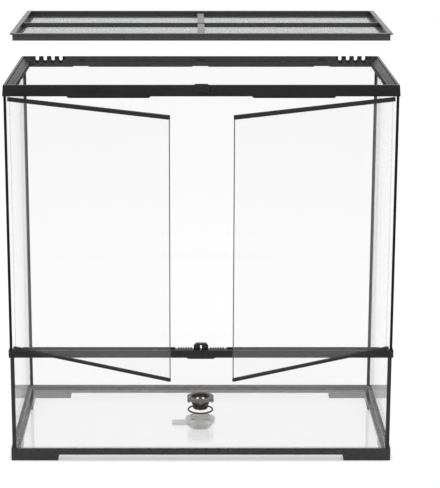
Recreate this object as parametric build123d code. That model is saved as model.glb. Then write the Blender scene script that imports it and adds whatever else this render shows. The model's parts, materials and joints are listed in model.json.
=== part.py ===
from build123d import *
import os
from math import atan2, degrees

# Paludarium: a glass tank in black plastic frames, water-tight up to a sill, with two glass
# doors above the sill, a lift-out screen lid and a floor drain with a lift-out strainer.
# Millimetres, +Z up, front towards -Y, origin on the ground at the middle of the footprint.

# Overall size of the closed tank
tank_width = 915
tank_depth = 465
tank_height = 915
half_width = tank_width / 2
half_depth = tank_depth / 2

# Pose that is drawn: doors ajar, lid, strainer and sealing ring lifted off their seats
door_open_angle = 32
lid_lift = 126
strainer_lift = 42
seal_lift = 16

# Glass
glass = 5
door_glass = 4
side_glass_out = half_width - 3.5
side_glass_in = side_glass_out - glass
back_glass_out = half_depth - 2
back_glass_in = back_glass_out - glass
front_glass_out = -half_depth + 3.5
front_glass_in = front_glass_out + glass
glass_top = 897
front_glass_top = 268
trim_width = 9
trim_thickness = 1.5
trim_lap = 0.7

# Base frame
rail_bottom = 14.5
base_top = 30.5
glass_seat = 23
floor_top = glass_seat + glass
foot_length_x = 116
foot_length_y = 114
foot_slant = 3
base_ledge = 20
base_rib = 2.5
frame_corner = 4

# Sill across the front, on the edge of the lower front glass
sill_bottom = 260
sill_top = 278.3
sill_depth = 18
sill_back = -half_depth + sill_depth
sill_wall = 2.3
sill_cap_width = 24
stop_strip_inner = 61
stop_strip_outer = 425
stop_strip_front = -half_depth + 14.6
stop_strip_height = 3
vent_half = 60.5
vent_front = -half_depth + 9.5
vent_plate = 1.5
vent_post_first = 23.5
vent_post_pitch = 5.9
vent_post_width = 3.2
vent_posts = 6

# Magnetic catch in the middle of the sill
catch_half = 17.5
catch_height = 14
catch_shoulder = 6
catch_front = -half_depth + 8.8
catch_back = sill_back + 1.5
catch_skin = 1.2
catch_slit_half = 1.9
catch_slit_height = 10
catch_groove_first = 4
catch_groove_pitch = 9
catch_groove_width = 3.6
catch_groove_depth = 1.1
catch_groove_foot = 1.5
magnet_radius = 2.5
magnet_x = 10.3
magnet_height = 4.7
catch_base_width = 70
catch_base_drop = 3
catch_base_front = -half_depth + 0.4

# Doors, drawn closed and then turned about their hinge pins
hinge_x = 443
hinge_y = -half_depth + 4.5
door_reach = 440.5
door_bar = 8
top_bar_height = 9.5
bottom_bar_height = 7
door_bottom = 279.5
door_top = 886.5
top_slot = 6
bottom_slot = 4.5
lug_radius = 3.2
lug_reach = 9
hinge_pin_radius = 2.5
hinge_pin_bottom = 270
hinge_pin_in_bar = 4.8
running_gap = 0.05
press_gap = 0.02
striker_width = 8
striker_x = 10.5
striker_height = 5
striker_thickness = 0.8

# Top frame
frame_bottom = 889
frame_draft = 2
rim_width = 6
lid_seat = 903
slope_top = 911
mouth_x = 435
mouth_y = 217.5
pocket_x = 439
pocket_y = 221.5
frame_cavity_top = 896
notch_channel_bottom = 899
frame_skirt = 3
notch_width = 8.8
notch_depth = 10.9
notch_pitch = 20
notch_count = 4
notch_middle = 385.5
shutter_front = 223
shutter_back = 226.6
shutter_bottom = 899
shutter_travel = 10
shutter_length = 77
door_flap_inner = 115
door_flap_outer = 312
door_flap_drop = 5.5
tab_top_width = 31
tab_width = 39
tab_bottom = 899
tab_top = 918
tab_thickness = 2.5

# Lid
lid_lip_x = 875
lid_lip_y = 440
lid_body_x = 865
lid_body_y = 430
lid_lip = 3
lid_skirt = 14
lid_wall = 3.5
lid_lip_inset = 11
lid_flange = 13
lid_flange_thickness = 3
mesh_thickness = 0.6
mesh_columns = 12
mesh_rows = 6
mesh_strip = 2.4
lid_bar = 16
retainer_border = 5
lid_bar_height = 10.4

# Drain on the middle of the floor
drain_hole_radius = 25
drain_flange_radius = 37.5
drain_cup_radius = 28
drain_bore_radius = 23.5
drain_bottom = 2
drain_wall = 3
spigot_radius = 7.5
spigot_bore = 5.5
spigot_height = 10.5
spigot_end = 72
spigot_tip_length = 1.5
spigot_tip_taper = 0.7
spigot_boss_end = 30
spigot_boss_half = 10
drain_rib = 2.4
seal_radius = 30.55
seal_section = 2
ring_radius = 33
ring_thickness = 8
lug_outer = 36
lug_count = 6
lug_width = 9
lug_drop = 2.7
ring_hole = 23
crown_notches = 18
crown_notch_width = 3.8
crown_notch_depth = 3
basket_mouth_radius = 20.6
basket_mouth_step = 1.5
basket_sink = 1.5
basket_top_radius = 21
basket_bottom_radius = 19
basket_rounding = 4
basket_wall = 2
basket_floor = 2
basket_drop = 25
basket_windows = 8
basket_window_gap = 1.5
basket_window_width = 8.5
basket_window_height = 5
basket_slot_start = 8
basket_slot_width = 2.6
basket_slot_height = 11
thread_radius = 22
thread_ridge = 1.3
thread_pitch = 3
thread_gap = 1


def block(x0, x1, y0, y1, z0, z1):
    """A box from its lowest and highest corners."""
    middle = Pos((x0 + x1) / 2, (y0 + y1) / 2, (z0 + z1) / 2)
    return middle * Box(abs(x1 - x0), abs(y1 - y0), abs(z1 - z0))


def slab(half_x, half_y, z0, z1, corner=0):
    """A level plate about the tank's middle, with rounded corners if asked."""
    sides = (2 * half_x, 2 * half_y)
    outline = RectangleRounded(*sides, corner) if corner else Rectangle(*sides)
    return extrude(Pos(0, 0, z0) * outline, amount=z1 - z0)


def disc(radius, z0, z1):
    """An upright cylinder on the drain's axis."""
    return Pos(0, 0, (z0 + z1) / 2) * Cylinder(radius, z1 - z0)


def both_sides(shape):
    """The shape and its mirror image across the tank's middle, as one group of solids."""
    return Compound(children=[*shape.solids(), *mirror(shape, about=Plane.YZ).solids()])


def mirrored_x(shape):
    """The shape's mirror image across the tank's middle."""
    return mirror(shape, about=Plane.YZ)


def foot():
    """The front left foot: two legs with leaning inner ends."""
    leg_x = Polyline(
        (-half_width, 0),
        (-half_width + foot_length_x - foot_slant, 0),
        (-half_width + foot_length_x, rail_bottom),
        (-half_width, rail_bottom),
        close=True,
    )
    leg_y = Polyline(
        (-half_depth, 0),
        (-half_depth + foot_length_y - foot_slant, 0),
        (-half_depth + foot_length_y, rail_bottom),
        (-half_depth, rail_bottom),
        close=True,
    )
    along_x = extrude(Plane.XZ.offset(half_depth) * make_face(leg_x), amount=-base_ledge)
    along_y = extrude(Plane.YZ.offset(-half_width) * make_face(leg_y), amount=base_ledge)
    return along_x + along_y


def base_frame():
    """Rail round the floor with a ledge for the glass, hollow below, and four corner feet."""
    rail = slab(half_width, half_depth, rail_bottom, base_top)
    rail -= slab(half_width - base_ledge, half_depth - base_ledge, rail_bottom, base_top)
    rail -= block(-side_glass_out, side_glass_out, front_glass_out, back_glass_out, glass_seat, base_top)
    hollow_top = glass_seat - base_rib
    hollow = slab(half_width - base_rib, half_depth - base_rib, rail_bottom, hollow_top)
    hollow -= slab(
        half_width - base_ledge + base_rib,
        half_depth - base_ledge + base_rib,
        rail_bottom,
        hollow_top,
    )
    left_feet = foot() + mirror(foot(), about=Plane.XZ)
    feet = left_feet + mirrored_x(left_feet)
    filled = extrude(feet.faces().filter_by(Axis.Z).group_by(Axis.Z)[-1], amount=glass_seat - rail_bottom)
    frame = (rail - hollow) + feet + filled
    return frame & slab(half_width, half_depth, 0, base_top, frame_corner)


def floor_glass():
    pane = block(-side_glass_in, side_glass_in, front_glass_out, back_glass_out, glass_seat, floor_top)
    return pane - disc(drain_hole_radius, glass_seat, floor_top)


def back_glass():
    return block(-side_glass_in, side_glass_in, back_glass_in, back_glass_out, floor_top, glass_top)


def front_glass():
    return block(-side_glass_in, side_glass_in, front_glass_out, front_glass_in, floor_top, front_glass_top)


def left_glass():
    return block(-side_glass_out, -side_glass_in, front_glass_out, back_glass_out, glass_seat, glass_top)


def left_corner_trim():
    """Black strip on the front edge of the left pane, wide beside the fixed glass, narrow above."""
    front = front_glass_out - trim_thickness
    low_end = -side_glass_out + trim_width
    lower = block(-side_glass_out, low_end, front, front_glass_out, base_top, sill_bottom)
    upper_left = -side_glass_out - trim_lap
    upper_right = -side_glass_in + trim_lap
    upper = block(upper_left, upper_right, front, front_glass_out, sill_top, frame_bottom)
    return Compound(children=[lower.solid(), upper.solid()])


def seam(corner, along_x, along_y, size, z0, z1):
    """An upright three-cornered bead of silicone in a corner of the glass."""
    x, y = corner
    line = Polyline((x, y), (x + along_x * size, y), (x, y + along_y * size), close=True)
    return extrude(Pos(0, 0, z0) * make_face(line), amount=z1 - z0)


def back_corner_seams():
    bead = seam((-side_glass_in, back_glass_in), 1, -1, 4, floor_top + 4.5, frame_bottom)
    return both_sides(bead)


def front_corner_seams():
    bead = seam((-side_glass_in, front_glass_in), 1, 1, 4, floor_top + 4.5, sill_bottom)
    return both_sides(bead)


def floor_seams():
    """Clear beads where the standing panes meet the floor glass."""
    size = 4
    left_line = Polyline(
        (-side_glass_in, floor_top),
        (-side_glass_in + size, floor_top),
        (-side_glass_in, floor_top + size),
        close=True,
    )
    depth = back_glass_in - front_glass_in
    left = extrude(Plane.XZ.offset(-back_glass_in) * make_face(left_line), amount=depth)
    back_line = Polyline(
        (back_glass_in, floor_top),
        (back_glass_in - size, floor_top),
        (back_glass_in, floor_top + size),
        close=True,
    )
    length = 2 * (side_glass_in - size)
    back = extrude(Plane.YZ.offset(-length / 2) * make_face(back_line), amount=length)
    front_line = Polyline(
        (front_glass_in, floor_top),
        (front_glass_in + size, floor_top),
        (front_glass_in, floor_top + size),
        close=True,
    )
    front = extrude(Plane.YZ.offset(-length / 2) * make_face(front_line), amount=length)
    solids = [left.solid(), mirrored_x(left).solid(), back.solid(), front.solid()]
    return Compound(children=solids)


def sill_section(x0, x1):
    """A length of the sill: a channel over the front glass with a hollow behind it."""
    bar = block(x0, x1, -half_depth, sill_back, sill_bottom, sill_top)
    bar -= block(x0, x1, front_glass_out, front_glass_in, sill_bottom, front_glass_top)
    hollow_front = front_glass_in + sill_wall
    hollow_top = sill_top - sill_wall
    bar -= block(x0, x1, hollow_front, sill_back - sill_wall, sill_bottom, hollow_top)
    return bar


def sill_rail():
    reach = half_width - sill_cap_width
    rail = sill_section(-reach, reach)
    return rail - block(-vent_half, vent_half, vent_front, sill_back - 1, sill_top - vent_plate, sill_top)


def sill_end_caps():
    """Blocks at the ends of the sill, slotted for the side panes and bored for the hinge pins."""
    cap = block(-half_width, -half_width + sill_cap_width, -half_depth, sill_back, sill_bottom, sill_top)
    cap -= block(-side_glass_out, -side_glass_in, front_glass_out, sill_back, sill_bottom, sill_top)
    inner_end = -half_width + sill_cap_width
    cap -= block(-side_glass_in, inner_end, front_glass_out, front_glass_in, sill_bottom, front_glass_top)
    hole_bottom = hinge_pin_bottom - 0.5
    hole = Pos(-hinge_x, hinge_y, (hole_bottom + sill_top) / 2)
    cap -= hole * Cylinder(hinge_pin_radius + running_gap, sill_top - hole_bottom)
    return both_sides(cap)


def vent_grille():
    """Vent strip let into the sill: a row of short posts on each side of the catch, with air gaps."""
    back = sill_back - 1
    strip = block(-vent_half, vent_half, vent_front, back, sill_top - vent_plate, sill_top)
    for step in range(vent_posts):
        x0 = vent_post_first + step * vent_post_pitch - vent_post_width / 2
        x1 = x0 + vent_post_width
        post = block(x0, x1, stop_strip_front, back, sill_top, sill_top + stop_strip_height)
        strip += post
        strip += mirrored_x(post)
    return strip


def door_stop_strips():
    back = stop_strip_front + 2.6
    strip = block(
        -stop_strip_outer,
        -stop_strip_inner,
        stop_strip_front,
        back,
        sill_top,
        sill_top + stop_strip_height,
    )
    return both_sides(strip)


def magnet_shape(gap=0):
    """Rod magnet pressed into the catch from behind, under a thin skin at the front."""
    length = catch_back - catch_front - catch_skin
    spot = Pos(-magnet_x, catch_back - length / 2, sill_top + magnet_height)
    return spot * Rot(X=90) * Cylinder(magnet_radius + gap, length)


def door_catch():
    """Block that the closed doors rest against: cut shoulders, a slit through it, grip grooves."""
    top = sill_top + catch_height
    shoulder = top - catch_shoulder
    line = Polyline(
        (-catch_half, sill_top),
        (-catch_half, shoulder),
        (-catch_half + catch_shoulder, top),
        (catch_half - catch_shoulder, top),
        (catch_half, shoulder),
        (catch_half, sill_top),
        close=True,
    )
    catch = extrude(Plane.XZ.offset(-catch_back) * make_face(line), amount=catch_back - catch_front)
    slit_top = sill_top + catch_slit_height
    catch -= block(-catch_slit_half, catch_slit_half, catch_front, catch_back, sill_top, slit_top)
    groove_back = catch_front + catch_groove_depth
    for step in range(2):
        x0 = catch_groove_first + step * catch_groove_pitch
        x1 = x0 + catch_groove_width
        groove = block(x0, x1, catch_front, groove_back, sill_top + catch_groove_foot, top)
        catch -= groove
        catch -= mirrored_x(groove)
    pocket = magnet_shape(press_gap)
    return catch - pocket - mirrored_x(pocket)


def catch_magnets():
    return both_sides(magnet_shape())


def catch_base():
    """Plate under the middle of the sill that carries the catch, with leaning ends."""
    half = catch_base_width / 2
    top = sill_bottom
    line = Polyline(
        (-half, top),
        (half, top),
        (half - 5, top - catch_base_drop),
        (-half + 5, top - catch_base_drop),
        close=True,
    )
    depth = front_glass_out - catch_base_front
    return extrude(Plane.XZ.offset(-front_glass_out) * make_face(line), amount=depth)


def door_outline(width, lug):
    """Plan of a closed left door's bar: round lug at the pin, full bar, round free end."""
    lug_disc = Pos(-hinge_x, hinge_y) * Circle(lug)
    neck = Pos(-hinge_x + lug_reach / 2, hinge_y) * Rectangle(lug_reach, 2 * lug)
    body_start = -hinge_x + lug_reach
    body_end = -hinge_x + door_reach - width / 2
    body = Pos((body_start + body_end) / 2, hinge_y) * Rectangle(body_end - body_start, width)
    free_end = Pos(body_end, hinge_y) * Circle(width / 2)
    return lug_disc + neck + body + free_end


def swing(shape):
    """Turns a closed left door's piece open about its hinge pin."""
    return shape.rotate(Axis((-hinge_x, hinge_y, 0), (0, 0, 1)), -door_open_angle)


def door_pane():
    start = -hinge_x + hinge_pin_radius
    end = -hinge_x + door_reach - 1
    low = door_bottom + bottom_bar_height - bottom_slot
    high = door_top - top_bar_height + top_slot
    return block(start, end, hinge_y - door_glass / 2, hinge_y + door_glass / 2, low, high)


def pin_shape(z0, z1, gap=0):
    return Pos(-hinge_x, hinge_y, (z0 + z1) / 2) * Cylinder(hinge_pin_radius + gap, z1 - z0)


def door_bar_solid(z0, height):
    bar = extrude(Pos(0, 0, z0) * door_outline(door_bar, lug_radius), amount=height)
    return fillet(bar.edges().filter_by(GeomType.LINE).group_by(SortBy.LENGTH)[-1], 1.2)


def door_top_bar():
    bar = door_bar_solid(door_top - top_bar_height, top_bar_height)
    return bar - door_pane() - pin_shape(door_top - hinge_pin_in_bar, door_top, press_gap)


def striker_shape():
    """Steel plate let into the inner face of the bottom bar, opposite the catch's magnet."""
    inner_face = hinge_y + door_bar / 2
    height = sill_top + magnet_height
    return block(
        -striker_x - striker_width / 2,
        -striker_x + striker_width / 2,
        inner_face - striker_thickness,
        inner_face,
        height - striker_height / 2,
        height + striker_height / 2,
    )


def door_bottom_bar():
    bar = door_bar_solid(door_bottom, bottom_bar_height)
    hole = pin_shape(door_bottom, door_bottom + hinge_pin_in_bar, press_gap)
    return bar - door_pane() - hole - striker_shape()


def door_pins():
    upper = pin_shape(door_top - hinge_pin_in_bar, glass_top)
    lower = pin_shape(hinge_pin_bottom, door_bottom + hinge_pin_in_bar)
    return Compound(children=[upper.solid(), lower.solid()])


def notch_places():
    """Where the cable notches are along the back rail's right half."""
    first = notch_middle - notch_pitch * (notch_count - 1) / 2
    return [first + notch_pitch * step for step in range(notch_count)]


def notch_cut(x, y0, y1, bottom, top):
    """A U-shaped cut through a wall, open at the top."""
    radius = notch_width / 2
    middle = (y0 + y1) / 2
    round_end = Pos(x, middle, bottom + radius) * Rot(X=90) * Cylinder(radius, y1 - y0)
    return round_end + block(x - radius, x + radius, y0, y1, bottom + radius, top)


def top_frame():
    """Rim round the top: drafted outside, lid ledge with sloped lead-in, hollow below."""
    draft = degrees(atan2(frame_draft, tank_height - frame_bottom))
    outline = RectangleRounded(tank_width, tank_depth, frame_corner)
    frame = extrude(Pos(0, 0, frame_bottom) * outline, amount=tank_height - frame_bottom, taper=draft)
    frame = fillet(frame.faces().sort_by(Axis.Z)[-1].edges(), 1.2)
    frame -= slab(mouth_x, mouth_y, frame_bottom, tank_height)
    rim_x = half_width - frame_draft - rim_width
    rim_y = half_depth - frame_draft - rim_width
    frame -= slab(pocket_x, pocket_y, lid_seat, slope_top)
    slope = [
        Pos(0, 0, lid_seat + 1) * Rectangle(2 * pocket_x, 2 * pocket_y),
        Pos(0, 0, slope_top) * Rectangle(2 * rim_x, 2 * rim_y),
    ]
    frame -= loft(slope)
    frame -= slab(rim_x, rim_y, slope_top, tank_height)
    frame -= block(-side_glass_out, side_glass_out, back_glass_in, back_glass_out, frame_bottom, glass_top)
    for x0 in (-side_glass_out, side_glass_in):
        frame -= block(x0, x0 + glass, front_glass_out, back_glass_out, frame_bottom, glass_top)
    skirt_x = mouth_x + frame_skirt
    skirt_y = mouth_y + frame_skirt
    for x0 in (-side_glass_in, skirt_x):
        x1 = x0 + side_glass_in - skirt_x
        frame -= block(x0, x1, -skirt_y, back_glass_in, frame_bottom, frame_cavity_top)
    frame -= block(-skirt_x, skirt_x, skirt_y, back_glass_in, frame_bottom, frame_cavity_top)
    hole = pin_shape(frame_bottom, glass_top + 1, running_gap)
    frame -= hole
    frame -= mirrored_x(hole)
    frame += door_flaps()
    frame -= inlet_cuts()
    frame -= mirrored_x(inlet_cuts())
    return frame - lid_dimples()


def door_flaps():
    """Two strips under the front rail that the closed doors' top bars rest against."""
    top = frame_bottom
    drop = door_flap_drop
    line = Polyline(
        (door_flap_inner, top),
        (door_flap_inner + drop, top - drop),
        (door_flap_outer - drop, top - drop),
        (door_flap_outer, top),
        close=True,
    )
    back = mouth_y + 0.5
    flap = extrude(Plane.XZ.offset(back) * make_face(line), amount=4)
    return flap + mirrored_x(flap)


def inlet_cuts():
    """Cable notches in the right half of the back rail, with the slide's pocket behind them."""
    cuts = block(
        notch_middle - shutter_length / 2 - 1,
        notch_middle + shutter_length / 2 + shutter_travel + 1,
        shutter_front - 0.3,
        shutter_back + 0.4,
        shutter_bottom - 0.4,
        tank_height,
    )
    for x in notch_places():
        cuts += notch_cut(x, shutter_front, half_depth, tank_height - notch_depth, tank_height)
        cuts += block(
            x - notch_width / 2,
            x + notch_width / 2,
            mouth_y - 1,
            shutter_front,
            notch_channel_bottom,
            tank_height,
        )
    return cuts


def lid_dimples():
    """Shallow finger hollows in the back ledge, with reliefs in the lower edge below them."""
    cuts = []
    relief_top = frame_bottom + 2.5
    for x in (-304, 0, 309):
        cuts.append(Pos(x, pocket_y + 1, lid_seat + 3) * extrude(Ellipse(10.5, 2.5), amount=10, both=True))
        cuts.append(block(x - 20, x + 20, mouth_y - 1, mouth_y + frame_skirt, frame_bottom, relief_top))
    for x0 in (-mouth_x - frame_skirt, mouth_x - 1):
        cuts.append(block(x0, x0 + frame_skirt + 1, -20, 20, frame_bottom, relief_top))
    return cuts


def inlet_shutter():
    """Comb slide behind the right cable notches; half a pitch of travel closes them."""
    left = notch_middle - shutter_length / 2
    comb = block(left, left + shutter_length, shutter_front, shutter_back, shutter_bottom, tank_height - 0.6)
    for x in notch_places():
        comb -= notch_cut(x, shutter_front, shutter_back, tank_height - notch_depth - 0.4, tank_height)
    grip_left = notch_places()[1] + notch_width / 2 + 2
    for ridge in range(3):
        x0 = grip_left + ridge * 2.6
        comb += block(x0, x0 + 1.4, shutter_front, shutter_back, tank_height - 0.6, tank_height + 0.8)
    return comb


def front_tab():
    """Plain tab on the middle of the front rim, with level grip ribs."""
    line = Polyline(
        (-tab_top_width / 2, tab_top),
        (tab_top_width / 2, tab_top),
        (tab_width / 2, tab_bottom + 5),
        (tab_width / 2 - 2, tab_bottom),
        (-tab_width / 2 + 2, tab_bottom),
        (-tab_width / 2, tab_bottom + 5),
        close=True,
    )
    back = half_depth - 3
    tab = extrude(Plane.XZ.offset(back) * make_face(line), amount=tab_thickness + 1.5)
    for rib in range(3):
        z0 = tab_bottom + 4 + rib * 4
        face = -back - tab_thickness - 1.5
        tab -= block(-tab_width / 2 + 6, tab_width / 2 - 6, face, face + 0.5, z0, z0 + 1.6)
    tab -= slab(half_width - 3, half_depth - 3, tab_bottom, tank_height)
    return tab - top_frame()


def drain_body():
    """Cup under the floor glass with a flange, stiffening ribs and a hose spigot to the left."""
    body = disc(drain_flange_radius, glass_seat - 4, glass_seat)
    body += disc(drain_cup_radius, drain_bottom, glass_seat)
    body += block(
        -spigot_boss_end,
        0,
        -spigot_boss_half,
        spigot_boss_half,
        drain_bottom,
        glass_seat - 4,
    )
    turn = Rot(Y=-90)
    length = spigot_end - spigot_tip_length
    body += Pos(-length / 2, 0, spigot_height) * turn * Cylinder(spigot_radius, length)
    spigot_tip = Pos(-spigot_end + spigot_tip_length / 2, 0, spigot_height) * turn
    body += spigot_tip * Cone(spigot_radius, spigot_radius - spigot_tip_taper, spigot_tip_length)
    rib_low = drain_bottom + 6
    rib_high = glass_seat - 2
    rib_reach = drain_flange_radius - 2
    body += block(0, rib_reach, -drain_rib / 2, drain_rib / 2, rib_low, rib_high)
    body += block(-drain_rib / 2, drain_rib / 2, -rib_reach, rib_reach, rib_low, rib_high)
    body -= disc(drain_bore_radius, drain_bottom + drain_wall, glass_seat)
    bore_length = spigot_end - drain_bore_radius + 6
    bore_middle = -spigot_end + bore_length / 2
    body -= Pos(bore_middle, 0, spigot_height) * turn * Cylinder(spigot_bore, bore_length)
    return body


def seated_ring_bottom():
    return floor_top + 2 * seal_section


def drain_seal():
    return Pos(0, 0, floor_top + seal_section + seal_lift) * Torus(seal_radius, seal_section)


def drain_ring():
    """Strainer's flange with six hooked lugs round it and a notched inner edge."""
    low = seated_ring_bottom() + strainer_lift
    high = low + ring_thickness
    ring = disc(ring_radius, low, high)
    ring = chamfer(ring.faces().sort_by(Axis.Z)[-1].edges(), 1.5)
    ring -= disc(ring_hole, low, high)
    for lug in range(lug_count):
        turn = Rot(Z=lug * 360 / lug_count + 30)
        ring += turn * block(ring_radius - 2, lug_outer, -lug_width / 2, lug_width / 2, low, high - 2.5)
        ring += turn * block(ring_radius, lug_outer, -lug_width / 2, lug_width / 2, low - lug_drop, low)
    return ring - crown_cuts(high)


def crown_cuts(top):
    """Notches round the strainer's inner edge, open to its mouth."""
    half = crown_notch_width / 2
    cuts = []
    for notch in range(crown_notches):
        turn = Rot(Z=notch * 360 / crown_notches)
        reach = ring_hole + crown_notch_depth
        cuts.append(turn * block(basket_mouth_radius - 1, reach, -half, half, top - crown_notch_depth, top))
    return cuts


def drain_basket():
    """Tapering basket under the flange: a wide mouth, windows, thread ridges, a slotted round end."""
    ring_low = seated_ring_bottom() + strainer_lift
    bottom = ring_low - basket_drop
    collar_top = ring_low + ring_thickness - basket_sink
    taper = Pos(0, 0, bottom + basket_drop / 2) * Cone(basket_bottom_radius, basket_top_radius, basket_drop)
    taper = fillet(taper.edges().sort_by(Axis.Z)[0], basket_rounding)
    basket = taper + disc(ring_hole - press_gap, ring_low, collar_top)
    window_high = ring_low - basket_window_gap
    window_low = window_high - basket_window_height
    for ridge in range(2):
        z0 = window_low - thread_gap - thread_ridge - ridge * thread_pitch
        basket += disc(thread_radius, z0, z0 + thread_ridge)
    basket -= disc(basket_bottom_radius - basket_wall, bottom + basket_floor, collar_top)
    basket -= disc(basket_mouth_radius, ring_low + basket_mouth_step, collar_top)
    for step in range(basket_windows):
        turn = Rot(Z=(step + 0.5) * 360 / basket_windows)
        half = basket_window_width / 2
        basket -= turn * block(basket_slot_start, thread_radius, -half, half, window_low, window_high)
        half = basket_slot_width / 2
        slot_high = bottom + basket_slot_height
        basket -= turn * block(basket_slot_start, thread_radius, -half, half, bottom, slot_high)
    return basket - crown_cuts(ring_low + ring_thickness)


def lid_frame():
    """Lid's rim: a lip that rests on the ledge, a skirt, and a flange under the mesh."""
    top = lid_seat + lid_lip + lid_lift
    lip_bottom = top - lid_lip
    bottom = lip_bottom - lid_skirt
    frame = slab(lid_lip_x / 2, lid_lip_y / 2, lip_bottom, top, 3)
    frame += slab(lid_body_x / 2, lid_body_y / 2, bottom, lip_bottom, 3)
    frame -= slab(lid_lip_x / 2 - lid_lip_inset, lid_lip_y / 2 - lid_lip_inset, lip_bottom, top)
    well_x = lid_body_x / 2 - lid_wall
    well_y = lid_body_y / 2 - lid_wall
    frame -= slab(well_x, well_y, bottom + lid_flange_thickness, lip_bottom)
    window_x = lid_body_x / 2 - lid_flange
    window_y = lid_body_y / 2 - lid_flange
    return frame - slab(window_x, window_y, bottom, bottom + lid_flange_thickness)


def mesh_bottom():
    return lid_seat + lid_lift - lid_skirt + lid_flange_thickness


def lid_mesh():
    """Screen under the lid's bars: a coarse grid of crossed flat strips for the fine woven cloth."""
    half_x = lid_body_x / 2 - lid_wall
    half_y = lid_body_y / 2 - lid_wall
    pitch_x = (lid_body_x - 2 * lid_flange) / mesh_columns
    pitch_y = (lid_body_y - 2 * lid_flange) / mesh_rows
    low = mesh_bottom()
    middle = low + mesh_thickness / 2
    high = low + mesh_thickness
    half_strip = mesh_strip / 2
    strips = []
    for column in range(1, mesh_columns):
        x = (column - mesh_columns / 2) * pitch_x
        strips.append(block(x - half_strip, x + half_strip, -half_y, half_y, low, middle).solid())
    for row in range(1, mesh_rows):
        y = (row - mesh_rows / 2) * pitch_y
        strips.append(block(-half_x, half_x, y - half_strip, y + half_strip, middle, high).solid())
    return Compound(children=strips)


def lid_retainer():
    """Frame with a long bar and a cross bar that clamps the mesh down from above."""
    low = mesh_bottom() + mesh_thickness
    high = low + lid_bar_height
    outer_x = lid_body_x / 2 - lid_wall
    outer_y = lid_body_y / 2 - lid_wall
    rim = slab(outer_x, outer_y, low, low + 2.4)
    rim -= slab(outer_x - retainer_border, outer_y - retainer_border, low, low + 2.4)
    long_bar = block(-outer_x, outer_x, -lid_bar / 4, lid_bar / 4, low, high)
    cross_bar = block(-lid_bar / 2, lid_bar / 2, -outer_y, outer_y, low, high - 1)
    return rim + long_bar + cross_bar


def right_hand(shape):
    """The right-hand twin of a left-hand piece."""
    return mirrored_x(shape)


def save(node, shape):
    """One STEP file for a node, holding only its solids."""
    solids = shape.solids()
    kept = solids[0] if len(solids) == 1 else Compound(children=solids)
    export_step(kept, f"parts/{node}.step")


def main():
    os.makedirs("parts", exist_ok=True)
    nodes = {
        "base_frame": base_frame(),
        "floor_glass": floor_glass(),
        "back_glass": back_glass(),
        "left_glass": left_glass(),
        "right_glass": right_hand(left_glass()),
        "front_glass": front_glass(),
        "left_corner_trim": left_corner_trim(),
        "right_corner_trim": right_hand(left_corner_trim()),
        "back_corner_seams": back_corner_seams(),
        "front_corner_seams": front_corner_seams(),
        "floor_seams": floor_seams(),
        "sill_rail": sill_rail(),
        "sill_end_caps": sill_end_caps(),
        "vent_grille": vent_grille(),
        "door_stop_strips": door_stop_strips(),
        "door_catch": door_catch(),
        "catch_magnets": catch_magnets(),
        "catch_base": catch_base(),
        "top_frame": top_frame(),
        "front_tab": front_tab(),
        "drain_body": drain_body(),
        "drain_seal": drain_seal(),
        "drain_ring": drain_ring(),
        "drain_basket": drain_basket(),
        "lid_frame": lid_frame(),
        "lid_mesh": lid_mesh(),
        "lid_retainer": lid_retainer(),
        "right_inlet_shutter": inlet_shutter(),
        "left_inlet_shutter": mirrored_x(inlet_shutter()),
    }
    door_pieces = {
        "door_pane": door_pane(),
        "door_top_bar": door_top_bar(),
        "door_bottom_bar": door_bottom_bar(),
        "door_hinge_pins": door_pins(),
        "door_striker": striker_shape(),
    }
    for name, piece in door_pieces.items():
        opened = swing(piece)
        nodes[f"left_{name}"] = opened
        nodes[f"right_{name}"] = right_hand(opened)
    for node, shape in nodes.items():
        save(node, shape)


main()
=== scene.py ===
import json
import math

import bmesh
import bpy
from mathutils import Matrix, Vector

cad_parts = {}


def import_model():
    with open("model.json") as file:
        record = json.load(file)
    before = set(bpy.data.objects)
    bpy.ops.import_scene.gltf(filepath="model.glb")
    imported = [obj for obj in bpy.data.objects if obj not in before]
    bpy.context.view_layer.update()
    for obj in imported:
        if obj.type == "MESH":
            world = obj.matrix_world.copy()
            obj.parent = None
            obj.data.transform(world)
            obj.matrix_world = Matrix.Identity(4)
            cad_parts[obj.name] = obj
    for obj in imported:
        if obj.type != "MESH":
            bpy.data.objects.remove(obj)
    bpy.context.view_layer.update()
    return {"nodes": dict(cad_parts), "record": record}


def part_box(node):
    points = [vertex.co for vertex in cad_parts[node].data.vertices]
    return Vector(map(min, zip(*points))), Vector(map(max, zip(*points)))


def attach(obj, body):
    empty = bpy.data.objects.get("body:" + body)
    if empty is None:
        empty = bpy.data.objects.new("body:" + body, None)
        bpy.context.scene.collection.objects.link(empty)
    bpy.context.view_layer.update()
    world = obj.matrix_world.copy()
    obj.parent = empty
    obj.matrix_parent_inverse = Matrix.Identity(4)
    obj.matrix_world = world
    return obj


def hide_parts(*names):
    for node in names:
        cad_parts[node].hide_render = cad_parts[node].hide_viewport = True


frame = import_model()
nodes = frame["nodes"]
scene = bpy.context.scene

# The photograph's frame and focal length in pixels, and the camera that comes closest to its view:
# its shift as a share of the frame's height, its place in metres and its tilt in radians
PHOTO_WIDTH = 440
PHOTO_HEIGHT = 488
FOCAL_PIXELS = 1721.0
VANISHING_X = 191.2
SHIFT_UP = 0.06
CAMERA_X = -0.0233
CAMERA_AHEAD = 3.900
CAMERA_HEIGHT = 1.550
CAMERA_TILT = 0.2365

# Where the white floor is looked at, the share of it that shows plain white and not the light on it
FLOOR_PLAIN = 0.7
PLAIN_WHITE = 1.14

# The share just under the front rail, where the photograph's shadow is, and how far back that goes; less
# plain white there shows the floor's real shadow more strongly and also paints shade
SHADE_PLAIN = 0.3
SHADE_DEPTH = 0.05
SHADE_BLEND = 0.01

# The white floor's reach to each side, how far it lies below the feet, and its own brightness
FLOOR_REACH = 40.0
FLOOR_DROP = 0.0005
FLOOR_WHITE = 0.96

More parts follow.
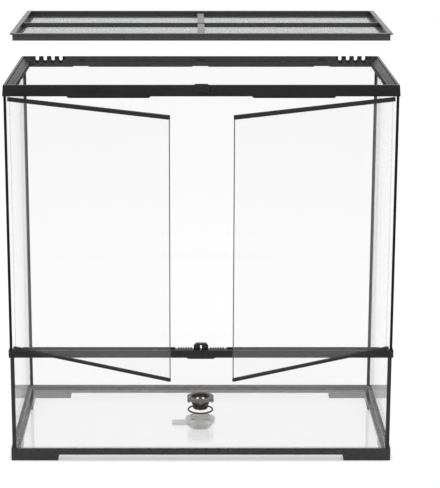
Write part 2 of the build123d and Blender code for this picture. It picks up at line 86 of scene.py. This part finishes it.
# The light that the white surroundings give, and each soft lamp's place, size and power
SKY_LIGHT = 0.74
LAMP_TARGET = (0.0, 0.0, 0.5)
LAMPS = {
    "overhead": ((-0.2, -0.1, 3.2), 2.4, 26),
    "key": ((1.6, -2.6, 3.2), 2.0, 18),
    "fill": ((-2.4, -1.8, 2.2), 2.0, 8),
}

# Sizes of what the scene adds
GLASS_BEVEL = 0.0006
WIRE_PITCH = 0.002
WIRE_WIDTH = 0.00045
WIRE_THICKNESS = 0.00006
EDGE_ROUND = 0.0008

# How much of the light one face of a pane mirrors straight back, and how steeply that grows at a slant
MIRROR_LEAST = 0.007
MIRROR_POWER = 5.0

# Each pane's body, how much white one of its faces lays over what is behind it, and the share of
# the light that this face lets through
PANES = {
    "left_door_pane": ("left_door", 0.035, 0.990),
    "right_door_pane": ("right_door", 0.035, 0.990),
    "front_glass": ("tank", 0.003, 0.980),
    "left_glass": ("tank", 0.010, 0.985),
    "right_glass": ("tank", 0.010, 0.985),
    "back_glass": ("tank", 0.006, 0.965),
    "floor_glass": ("tank", 0.020, 0.975),
}

# Where the doors' hinges are, and how far from them and from the drain's middle an edge is faint
HINGES = {"left_door_pane": -0.443, "right_door_pane": 0.443}
HINGE_REACH = 0.006
DRAIN_REACH = 0.03

# A look through the tank crosses up to seven panes with two faces each, and some of their bevels
CLEAR_BOUNCES = 32

# Angles in degrees: between two faces that count as one, at a pane's sharp edge, and at a crease
FLAT_ANGLE = 1
EDGE_ANGLE = 60
CREASE_ANGLE = 30

# How well a face must face along a pane's thickness to be one of its two large faces
ACROSS_LEAST = 0.99

# Features in a metre: clouds in a plastic's colour and sheen, its grain, ground glass, scratched steel
COLOUR_CLOUDS = 18.0
SHEEN_CLOUDS = 60.0
MOULD_GRAIN = 2400.0
GRINDING_MARKS = 900.0
SCRATCHES = 1500.0

# How far a plastic's roughness strays from its own value
SHEEN_SPREAD = 0.02

# The corner trims are lighter below the sill, as in the photograph, with a short change of colour
TRIM_BELOW_SILL = 0.035
TRIM_BLEND = 0.001

# The top frame's colour gets lighter from its front to its back, which is painted light, and its upright
# faces are matt
RIM_BACK_PAINTED_LIGHT = (0.062, 0.062, 0.063, 1.0)
RIM_PAINTED_LIGHT_START = -0.1
RIM_PAINTED_LIGHT_END = 0.22
RIM_WALL_ROUGH = 0.75


def new_material(name):
    """An empty node material and its output."""
    mat = bpy.data.materials.new(name)
    mat.use_nodes = True
    tree = mat.node_tree
    tree.nodes.clear()
    return mat, tree, tree.nodes.new("ShaderNodeOutputMaterial")


def add(tree, kind, **values):
    """A node with the given input values."""
    node = tree.nodes.new(kind)
    for name, value in values.items():
        node.inputs[name.replace("_", " ")].default_value = value
    return node


def noise(tree, scale, detail=2.0):
    """Noise on object coordinates, at so many features in a metre."""
    place = tree.nodes.new("ShaderNodeTexCoord")
    texture = add(tree, "ShaderNodeTexNoise", Scale=scale, Detail=detail)
    tree.links.new(place.outputs["Object"], texture.inputs["Vector"])
    return texture


def ramp(tree, source, low, high, start=0.3, end=0.7):
    """Spreads a grey value between two colours or two numbers."""
    blend = tree.nodes.new("ShaderNodeValToRGB")
    blend.color_ramp.elements[0].position = start
    blend.color_ramp.elements[1].position = end
    blend.color_ramp.elements[0].color = low
    blend.color_ramp.elements[1].color = high
    tree.links.new(source, blend.inputs["Fac"])
    return blend.outputs["Color"]


def grey(value):
    """A neutral colour, or a number where a ramp takes colours."""
    return (value, value, value, 1.0)


def moulded(name, dark, light, rough, grain=MOULD_GRAIN, bump=0.04, round_edges=True, shine=0.3):
    """Moulded plastic or rubber: cloudy colour, satin sheen that varies, a fine spark-eroded grain."""
    mat, tree, out = new_material(name)
    shader = add(tree, "ShaderNodeBsdfPrincipled", Specular_IOR_Level=shine)
    tone = ramp(tree, noise(tree, COLOUR_CLOUDS).outputs["Fac"], dark, light)
    tree.links.new(tone, shader.inputs["Base Color"])
    clouds = noise(tree, SHEEN_CLOUDS).outputs["Fac"]
    sheen = ramp(tree, clouds, grey(rough - SHEEN_SPREAD), grey(rough + SHEEN_SPREAD))
    tree.links.new(sheen, shader.inputs["Roughness"])
    relief = add(tree, "ShaderNodeBump", Strength=bump, Distance=0.0002)
    tree.links.new(noise(tree, grain, 1.0).outputs["Fac"], relief.inputs["Height"])
    if round_edges:
        edge = tree.nodes.new("ShaderNodeBevel")
        edge.samples = 4
        edge.inputs["Radius"].default_value = EDGE_ROUND
        tree.links.new(edge.outputs["Normal"], relief.inputs["Normal"])
    tree.links.new(relief.outputs["Normal"], shader.inputs["Normal"])
    tree.links.new(shader.outputs["BSDF"], out.inputs["Surface"])
    return mat


def spread(tree, axis, start, end):
    """A value that climbs from 0 to 1 between two places along an axis of the object."""
    place = tree.nodes.new("ShaderNodeTexCoord")
    split = tree.nodes.new("ShaderNodeSeparateXYZ")
    climb = tree.nodes.new("ShaderNodeMapRange")
    climb.inputs["From Min"].default_value = start
    climb.inputs["From Max"].default_value = end
    tree.links.new(place.outputs["Object"], split.inputs[0])
    tree.links.new(split.outputs[axis], climb.inputs["Value"])
    return climb.outputs[0]


def two_tone(mat, far_colour, axis, start, end):
    """Lets a moulded material change into another colour between two places along an axis."""
    tree = mat.node_tree
    shader = next(node for node in tree.nodes if node.type == "BSDF_PRINCIPLED")
    base = shader.inputs["Base Color"]
    mix = tree.nodes.new("ShaderNodeMix")
    mix.data_type = "RGBA"
    mix.inputs["B"].default_value = far_colour
    tree.links.new(base.links[0].from_socket, mix.inputs["A"])
    tree.links.new(spread(tree, axis, start, end), mix.inputs["Factor"])
    tree.links.new(mix.outputs["Result"], base)


def matt_walls(mat, rough):
    """Keeps a moulded material's sheen on its level faces, and makes its upright faces matt."""
    tree = mat.node_tree
    shader = next(node for node in tree.nodes if node.type == "BSDF_PRINCIPLED")
    sheen = shader.inputs["Roughness"]
    place = tree.nodes.new("ShaderNodeTexCoord")
    split = tree.nodes.new("ShaderNodeSeparateXYZ")
    mix = tree.nodes.new("ShaderNodeMix")
    mix.inputs["A"].default_value = rough
    tree.links.new(place.outputs["Normal"], split.inputs[0])
    tree.links.new(split.outputs["Z"], mix.inputs["Factor"])
    tree.links.new(sheen.links[0].from_socket, mix.inputs["B"])
    tree.links.new(mix.outputs["Result"], sheen)


def glass(name, veil, clearness):
    """Clear glass that passes light straight, mirrors more at a slant, and has a faint white bloom."""
    mat, tree, out = new_material(name)
    clear = add(tree, "ShaderNodeBsdfTransparent", Color=grey(clearness))
    mirror = add(tree, "ShaderNodeBsdfGlossy", Color=grey(1.0), Roughness=0.015)
    bloom = add(tree, "ShaderNodeBsdfDiffuse", Color=(0.94, 0.95, 0.95, 1.0))
    facing = add(tree, "ShaderNodeLayerWeight", Blend=0.5)
    power = tree.nodes.new("ShaderNodeMath")
    power.operation = "POWER"
    power.inputs[1].default_value = MIRROR_POWER
    tree.links.new(facing.outputs["Facing"], power.inputs[0])
    slant = tree.nodes.new("ShaderNodeMapRange")
    slant.inputs["To Min"].default_value = MIRROR_LEAST
    tree.links.new(power.outputs[0], slant.inputs["Value"])
    pane = tree.nodes.new("ShaderNodeMixShader")
    tree.links.new(slant.outputs[0], pane.inputs["Fac"])
    tree.links.new(clear.outputs[0], pane.inputs[1])
    tree.links.new(mirror.outputs[0], pane.inputs[2])
    whole = add(tree, "ShaderNodeMixShader", Fac=veil)
    tree.links.new(pane.outputs[0], whole.inputs[1])
    tree.links.new(bloom.outputs[0], whole.inputs[2])
    tree.links.new(whole.outputs[0], out.inputs["Surface"])
    return mat


def ground_edge(name, dark, light, alpha):
    """The ground edge of a pane: neutral grey, with fine grinding marks."""
    mat, tree, out = new_material(name)
    shader = add(tree, "ShaderNodeBsdfPrincipled", Roughness=0.25, Alpha=alpha)
    marks = noise(tree, GRINDING_MARKS)
    tone = ramp(tree, marks.outputs["Fac"], grey(dark), grey(light))
    tree.links.new(tone, shader.inputs["Base Color"])
    tree.links.new(shader.outputs["BSDF"], out.inputs["Surface"])
    return mat


def metal(name, colour, rough):
    """Steel, plain or as wire, with fine scratches."""
    mat, tree, out = new_material(name)
    shader = add(tree, "ShaderNodeBsdfPrincipled", Metallic=1.0, Base_Color=colour)
    marks = noise(tree, SCRATCHES)
    sheen = ramp(tree, marks.outputs["Fac"], grey(rough), grey(rough + 0.15))
    tree.links.new(sheen, shader.inputs["Roughness"])
    relief = add(tree, "ShaderNodeBump", Strength=0.1, Distance=0.0001)
    tree.links.new(marks.outputs["Fac"], relief.inputs["Height"])
    tree.links.new(relief.outputs["Normal"], shader.inputs["Normal"])
    tree.links.new(shader.outputs["BSDF"], out.inputs["Surface"])
    return mat


def milky(name):
    """Milky translucent plastic."""
    mat, tree, out = new_material(name)
    shader = add(tree, "ShaderNodeBsdfPrincipled", Roughness=0.35, Alpha=0.7, Subsurface_Weight=0.3)
    shader.inputs["Subsurface Radius"].default_value = (0.004, 0.004, 0.004)
    tone = ramp(tree, noise(tree, 40.0).outputs["Fac"], (0.78, 0.775, 0.77, 1.0), (0.86, 0.855, 0.85, 1.0))
    tree.links.new(tone, shader.inputs["Base Color"])
    tree.links.new(shader.outputs["BSDF"], out.inputs["Surface"])
    return mat


def clear_bead():
    """Clear silicone: faint grey, satin, mostly see-through."""
    mat, tree, out = new_material("clear_silicone")
    shader = add(tree, "ShaderNodeBsdfPrincipled", Roughness=0.3, Alpha=0.25)
    tone = ramp(tree, noise(tree, 60.0).outputs["Fac"], grey(0.55), grey(0.65))
    tree.links.new(tone, shader.inputs["Base Color"])
    tree.links.new(shader.outputs["BSDF"], out.inputs["Surface"])
    return mat


def paint(node, mat):
    """Gives a CAD node its material."""
    slots = nodes[node].data.materials
    slots.clear()
    slots.append(mat)


def smooth_by_angle(mesh):
    """Smooth shading with sharp creases."""
    for polygon in mesh.polygons:
        polygon.use_smooth = True
    mesh.set_sharp_from_angle(angle=math.radians(CREASE_ANGLE))


def is_faint_edge(node, face):
    """Whether an edge face is one that hardly shows: a door's at its hinge, the floor's round the drain."""
    middle = face.calc_center_median()
    if node == "floor_glass":
        return math.hypot(middle.x, middle.y) < DRAIN_REACH
    if node in HINGES:
        return abs(middle.x - HINGES[node]) < HINGE_REACH
    return False


def glass_pane(node, body, veil, clearness, edge_mats):
    """A pane with ground and bevelled edges in place of its CAD node."""
    build = bmesh.new()
    build.from_mesh(nodes[node].data)
    bmesh.ops.remove_doubles(build, verts=build.verts, dist=1e-5)
    flat = math.radians(FLAT_ANGLE)
    bmesh.ops.dissolve_limit(build, angle_limit=flat, verts=build.verts, edges=build.edges)
    turn = math.radians(EDGE_ANGLE)
    sharp = [e for e in build.edges if len(e.link_faces) == 2 and e.calc_face_angle() > turn]
    bmesh.ops.bevel(build, geom=sharp, offset=GLASS_BEVEL, segments=2, affect="EDGES", profile=0.5)
    build.faces.ensure_lookup_table()
    largest = max(build.faces, key=lambda f: f.calc_area())
    across = largest.normal.copy()
    for face in build.faces:
        if abs(face.normal.dot(across)) > ACROSS_LEAST:
            face.material_index = 0
        else:
            face.material_index = 2 if is_faint_edge(node, face) else 1
    mesh = bpy.data.meshes.new(f"{node}_ground")
    build.to_mesh(mesh)
    build.free()
    for mat in (glass(f"{node}_clear", veil, clearness), *edge_mats):
        mesh.materials.append(mat)
    piece = bpy.data.objects.new(f"{node}_ground", mesh)
    scene.collection.objects.link(piece)
    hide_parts(node)
    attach(piece, body)


def ribbon(build, low, high):
    """One flat wire between two corners."""
    matrix = Matrix.Translation((low + high) / 2) @ Matrix.Diagonal((*(high - low), 1.0))
    bmesh.ops.create_cube(build, size=1.0, matrix=matrix)


def screen():
    """The lid's wire cloth: straight wires both ways, one layer on the other."""
    low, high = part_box("lid_mesh")
    centre_z = (low.z + high.z) / 2
    build = bmesh.new()
    for axis in (0, 1):
        other = 1 - axis
        count = int((high[axis] - low[axis]) / WIRE_PITCH)
        start = (high[axis] + low[axis] - (count - 1) * WIRE_PITCH) / 2
        layer = centre_z + (axis - 0.5) * WIRE_THICKNESS * 2
        for step in range(count):
            a = Vector((0, 0, layer - WIRE_THICKNESS / 2))
            b = Vector((0, 0, layer + WIRE_THICKNESS / 2))
            a[axis] = start + step * WIRE_PITCH - WIRE_WIDTH / 2
            b[axis] = a[axis] + WIRE_WIDTH
            a[other] = low[other]
            b[other] = high[other]
            ribbon(build, a, b)
    mesh = bpy.data.meshes.new("lid_screen")
    build.to_mesh(mesh)
    build.free()
    mesh.materials.append(metal("screen_wire", (0.30, 0.31, 0.31, 1.0), 0.45))
    piece = bpy.data.objects.new("lid_screen", mesh)
    scene.collection.objects.link(piece)
    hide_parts("lid_mesh")
    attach(piece, "lid")


def dress_nodes():
    """Materials of the CAD nodes that stay as they are."""
    by_slot = {
        "black_plastic": moulded(
            "black_plastic", (0.014, 0.014, 0.015, 1.0), (0.017, 0.017, 0.018, 1.0), 0.26, shine=0.2
        ),
        "black_silicone": moulded(
            "black_silicone", grey(0.010), grey(0.015), 0.35, grain=300.0, bump=0.05, round_edges=False
        ),
        "clear_silicone": clear_bead(),
        "milky_plastic": milky("milky_plastic"),
        "strainer_plastic": moulded(
            "strainer_plastic", (0.17, 0.14, 0.125, 1.0), (0.22, 0.185, 0.168, 1.0), 0.5
        ),
        "seal_rubber": moulded(
            "seal_rubber", grey(0.005), grey(0.009), 0.5, grain=700.0, bump=0.1, round_edges=False, shine=0.15
        ),
        "steel": metal("steel", (0.55, 0.55, 0.56, 1.0), 0.28),
    }
    charcoal = moulded("charcoal_plastic", (0.026, 0.026, 0.027, 1.0), (0.031, 0.031, 0.032, 1.0), 0.28)
    lid_grey = moulded("lid_plastic", (0.045, 0.045, 0.046, 1.0), (0.051, 0.051, 0.052, 1.0), 0.28)
    trim = moulded("trim_plastic", grey(0.004), grey(0.007), 0.4, shine=0.12)
    sill_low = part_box("sill_rail")[0].z
    two_tone(trim, grey(TRIM_BELOW_SILL), "Z", sill_low + TRIM_BLEND, sill_low)
    rim = moulded("rim_plastic_painted_light", (0.019, 0.019, 0.020, 1.0), (0.023, 0.023, 0.024, 1.0), 0.26, shine=0.12)
    # Painted light: the top frame's colour lightens towards its back rail
    two_tone(rim, RIM_BACK_PAINTED_LIGHT, "Y", RIM_PAINTED_LIGHT_START, RIM_PAINTED_LIGHT_END)
    matt_walls(rim, RIM_WALL_ROUGH)
    by_node = {
        "drain_basket": moulded(
            "basket_plastic", (0.020, 0.016, 0.014, 1.0), (0.032, 0.026, 0.023, 1.0), 0.45, shine=0.12
        ),
        "top_frame": rim,
        "lid_frame": lid_grey,
        "lid_retainer": lid_grey,
        "base_frame": charcoal,
        "left_corner_trim": trim,
        "right_corner_trim": trim,
    }
    for entry in frame["record"]["subparts"]:
        mat = by_slot.get(entry["material_slot"])
        if mat:
            paint(entry["node"], by_node.get(entry["node"], mat))
            smooth_by_angle(nodes[entry["node"]].data)


def product(tree, first, second):
    """Two node values multiplied."""
    node = tree.nodes.new("ShaderNodeMath")
    node.operation = "MULTIPLY"
    tree.links.new(first, node.inputs[0])
    tree.links.new(second, node.inputs[1])
    return node.outputs[0]


def band(tree, axis, low, high):
    """1 between two places along an axis of the object, 0 elsewhere, with a short soft change."""
    entered = spread(tree, axis, low - SHADE_BLEND, low)
    left = spread(tree, axis, high + SHADE_BLEND, high)
    return product(tree, entered, left)


def plain_share_with_painted_shade(tree):
    """How much of the floor shows plain white: less in a band under the front rail, which strengthens the
    real shadow there and paints shade as well.
    """
    low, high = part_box("base_frame")
    across = band(tree, "X", low.x, high.x)
    ahead = band(tree, "Y", low.y, low.y + SHADE_DEPTH)
    share = tree.nodes.new("ShaderNodeMapRange")
    share.inputs["To Min"].default_value = FLOOR_PLAIN
    share.inputs["To Max"].default_value = SHADE_PLAIN
    tree.links.new(product(tree, across, ahead), share.inputs["Value"])
    return share.outputs[0]


def seen_directly(tree):
    """1 for what the camera, a mirror or glass looks at, and 0 for the light that falls on things."""
    path = tree.nodes.new("ShaderNodeLightPath")
    result = path.outputs["Is Camera Ray"]
    for name in ("Is Glossy Ray", "Is Transmission Ray"):
        either = tree.nodes.new("ShaderNodeMath")
        either.operation = "MAXIMUM"
        tree.links.new(result, either.inputs[0])
        tree.links.new(path.outputs[name], either.inputs[1])
        result = either.outputs[0]
    return result


def stage():
    """A plain white floor that keeps the tank's shadow, and white all round."""
    build = bmesh.new()
    bmesh.ops.create_grid(build, x_segments=2, y_segments=2, size=FLOOR_REACH)
    mesh = bpy.data.meshes.new("floor")
    build.to_mesh(mesh)
    build.free()
    mat, tree, out = new_material("floor_white")
    lit = add(tree, "ShaderNodeBsdfDiffuse", Color=grey(FLOOR_WHITE))
    glow = add(tree, "ShaderNodeEmission", Color=grey(1.0), Strength=PLAIN_WHITE)
    both = tree.nodes.new("ShaderNodeMixShader")
    tree.links.new(product(tree, seen_directly(tree), plain_share_with_painted_shade(tree)), both.inputs["Fac"])
    tree.links.new(lit.outputs[0], both.inputs[1])
    tree.links.new(glow.outputs[0], both.inputs[2])
    tree.links.new(both.outputs[0], out.inputs["Surface"])
    mesh.materials.append(mat)
    floor = bpy.data.objects.new("floor", mesh)
    floor.location.z = -FLOOR_DROP
    scene.collection.objects.link(floor)


def world():
    """White surroundings for what the camera, mirrors and glass see, softer light for the rest."""
    sky = bpy.data.worlds.new("studio")
    scene.world = sky
    sky.use_nodes = True
    tree = sky.node_tree
    tree.nodes.clear()
    out = tree.nodes.new("ShaderNodeOutputWorld")
    seen = add(tree, "ShaderNodeBackground", Color=grey(1.0), Strength=1.0)
    light = add(tree, "ShaderNodeBackground", Color=grey(1.0), Strength=SKY_LIGHT)
    mix = tree.nodes.new("ShaderNodeMixShader")
    tree.links.new(seen_directly(tree), mix.inputs["Fac"])
    tree.links.new(light.outputs[0], mix.inputs[1])
    tree.links.new(seen.outputs[0], mix.inputs[2])
    tree.links.new(mix.outputs[0], out.inputs["Surface"])


def softbox(name, place, size, power):
    """A square lamp that faces the tank's middle."""
    lamp = bpy.data.lights.new(name, "AREA")
    lamp.shape = "SQUARE"
    lamp.size = size
    lamp.energy = power
    holder = bpy.data.objects.new(name, lamp)
    holder.location = place
    towards = Vector(LAMP_TARGET) - Vector(place)
    holder.rotation_euler = towards.to_track_quat("-Z", "Y").to_euler()
    scene.collection.objects.link(holder)


def camera():
    """A tilted camera that comes closest to the photograph's view with little shift."""
    data = bpy.data.cameras.new("camera")
    data.sensor_fit = "AUTO"
    data.sensor_width = 36.0
    data.lens = FOCAL_PIXELS * data.sensor_width / PHOTO_HEIGHT
    data.shift_x = (PHOTO_WIDTH / 2 - VANISHING_X) / PHOTO_HEIGHT
    data.shift_y = -SHIFT_UP
    data.clip_end = 100.0
    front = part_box("base_frame")[0].y
    holder = bpy.data.objects.new("camera", data)
    holder.location = (CAMERA_X, front - CAMERA_AHEAD, CAMERA_HEIGHT)
    holder.rotation_euler = (math.pi / 2 - CAMERA_TILT, 0.0, 0.0)
    scene.collection.objects.link(holder)
    scene.camera = holder


def main():
    dress_nodes()
    edge_mats = [
        ground_edge("glass_edge", dark=0.03, light=0.06, alpha=0.95),
        ground_edge("faint_edge", dark=0.5, light=0.6, alpha=0.3),
    ]
    for node, (body, veil, clearness) in PANES.items():
        glass_pane(node, body, veil, clearness, edge_mats)
    screen()
    stage()
    world()
    for name, (place, size, power) in LAMPS.items():
        softbox(name, place, size, power)
    camera()
    scene.view_settings.view_transform = "Standard"
    scene.cycles.transparent_max_bounces = CLEAR_BOUNCES


main()
